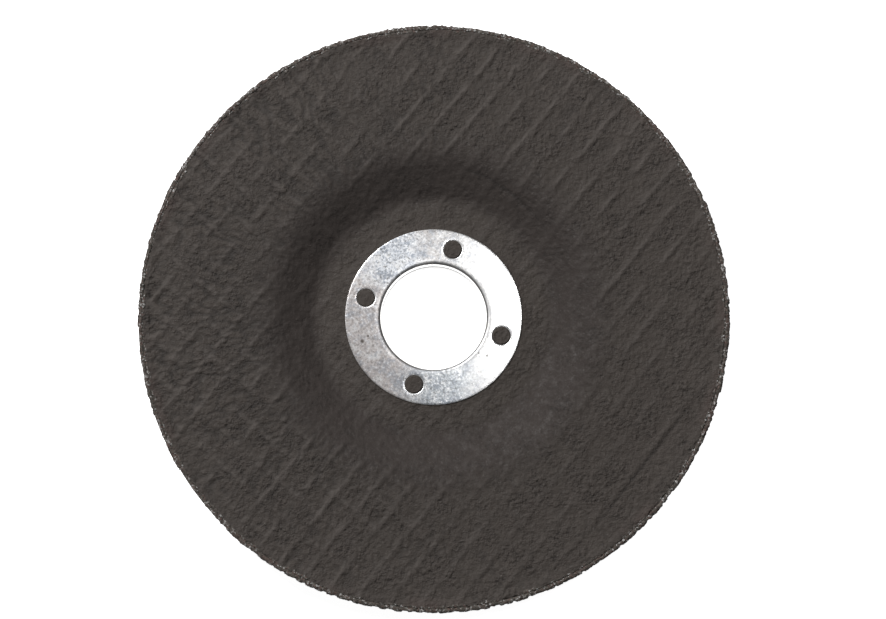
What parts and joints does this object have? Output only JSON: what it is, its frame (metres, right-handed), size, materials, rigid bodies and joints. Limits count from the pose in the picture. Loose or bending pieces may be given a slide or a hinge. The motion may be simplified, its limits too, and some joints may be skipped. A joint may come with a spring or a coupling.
{
  "type": "grinding disc",
  "caption": "Depressed-centre abrasive grinding disc with a black mesh facing and a steel arbor ring around its bore.",
  "frame": {"origin": "on the axis of the bore, level with the back of the hub, on which the disc lies", "axes": "+Z along the axis of the bore, towards the hollow front that does the grinding; X and Y in the plane of the disc"},
  "size_m": [0.125, 0.125, 0.0106],
  "materials": {
    "bonded_abrasive": "matte",
    "black_facing": "matte",
    "zinc_plated_steel": "satin"
  },
  "bodies": {
    "root": {"abrasive_body": "bonded_abrasive", "mesh_facing": "black_facing", "arbor_ring": "zinc_plated_steel"}
  },
  "joints": []
}
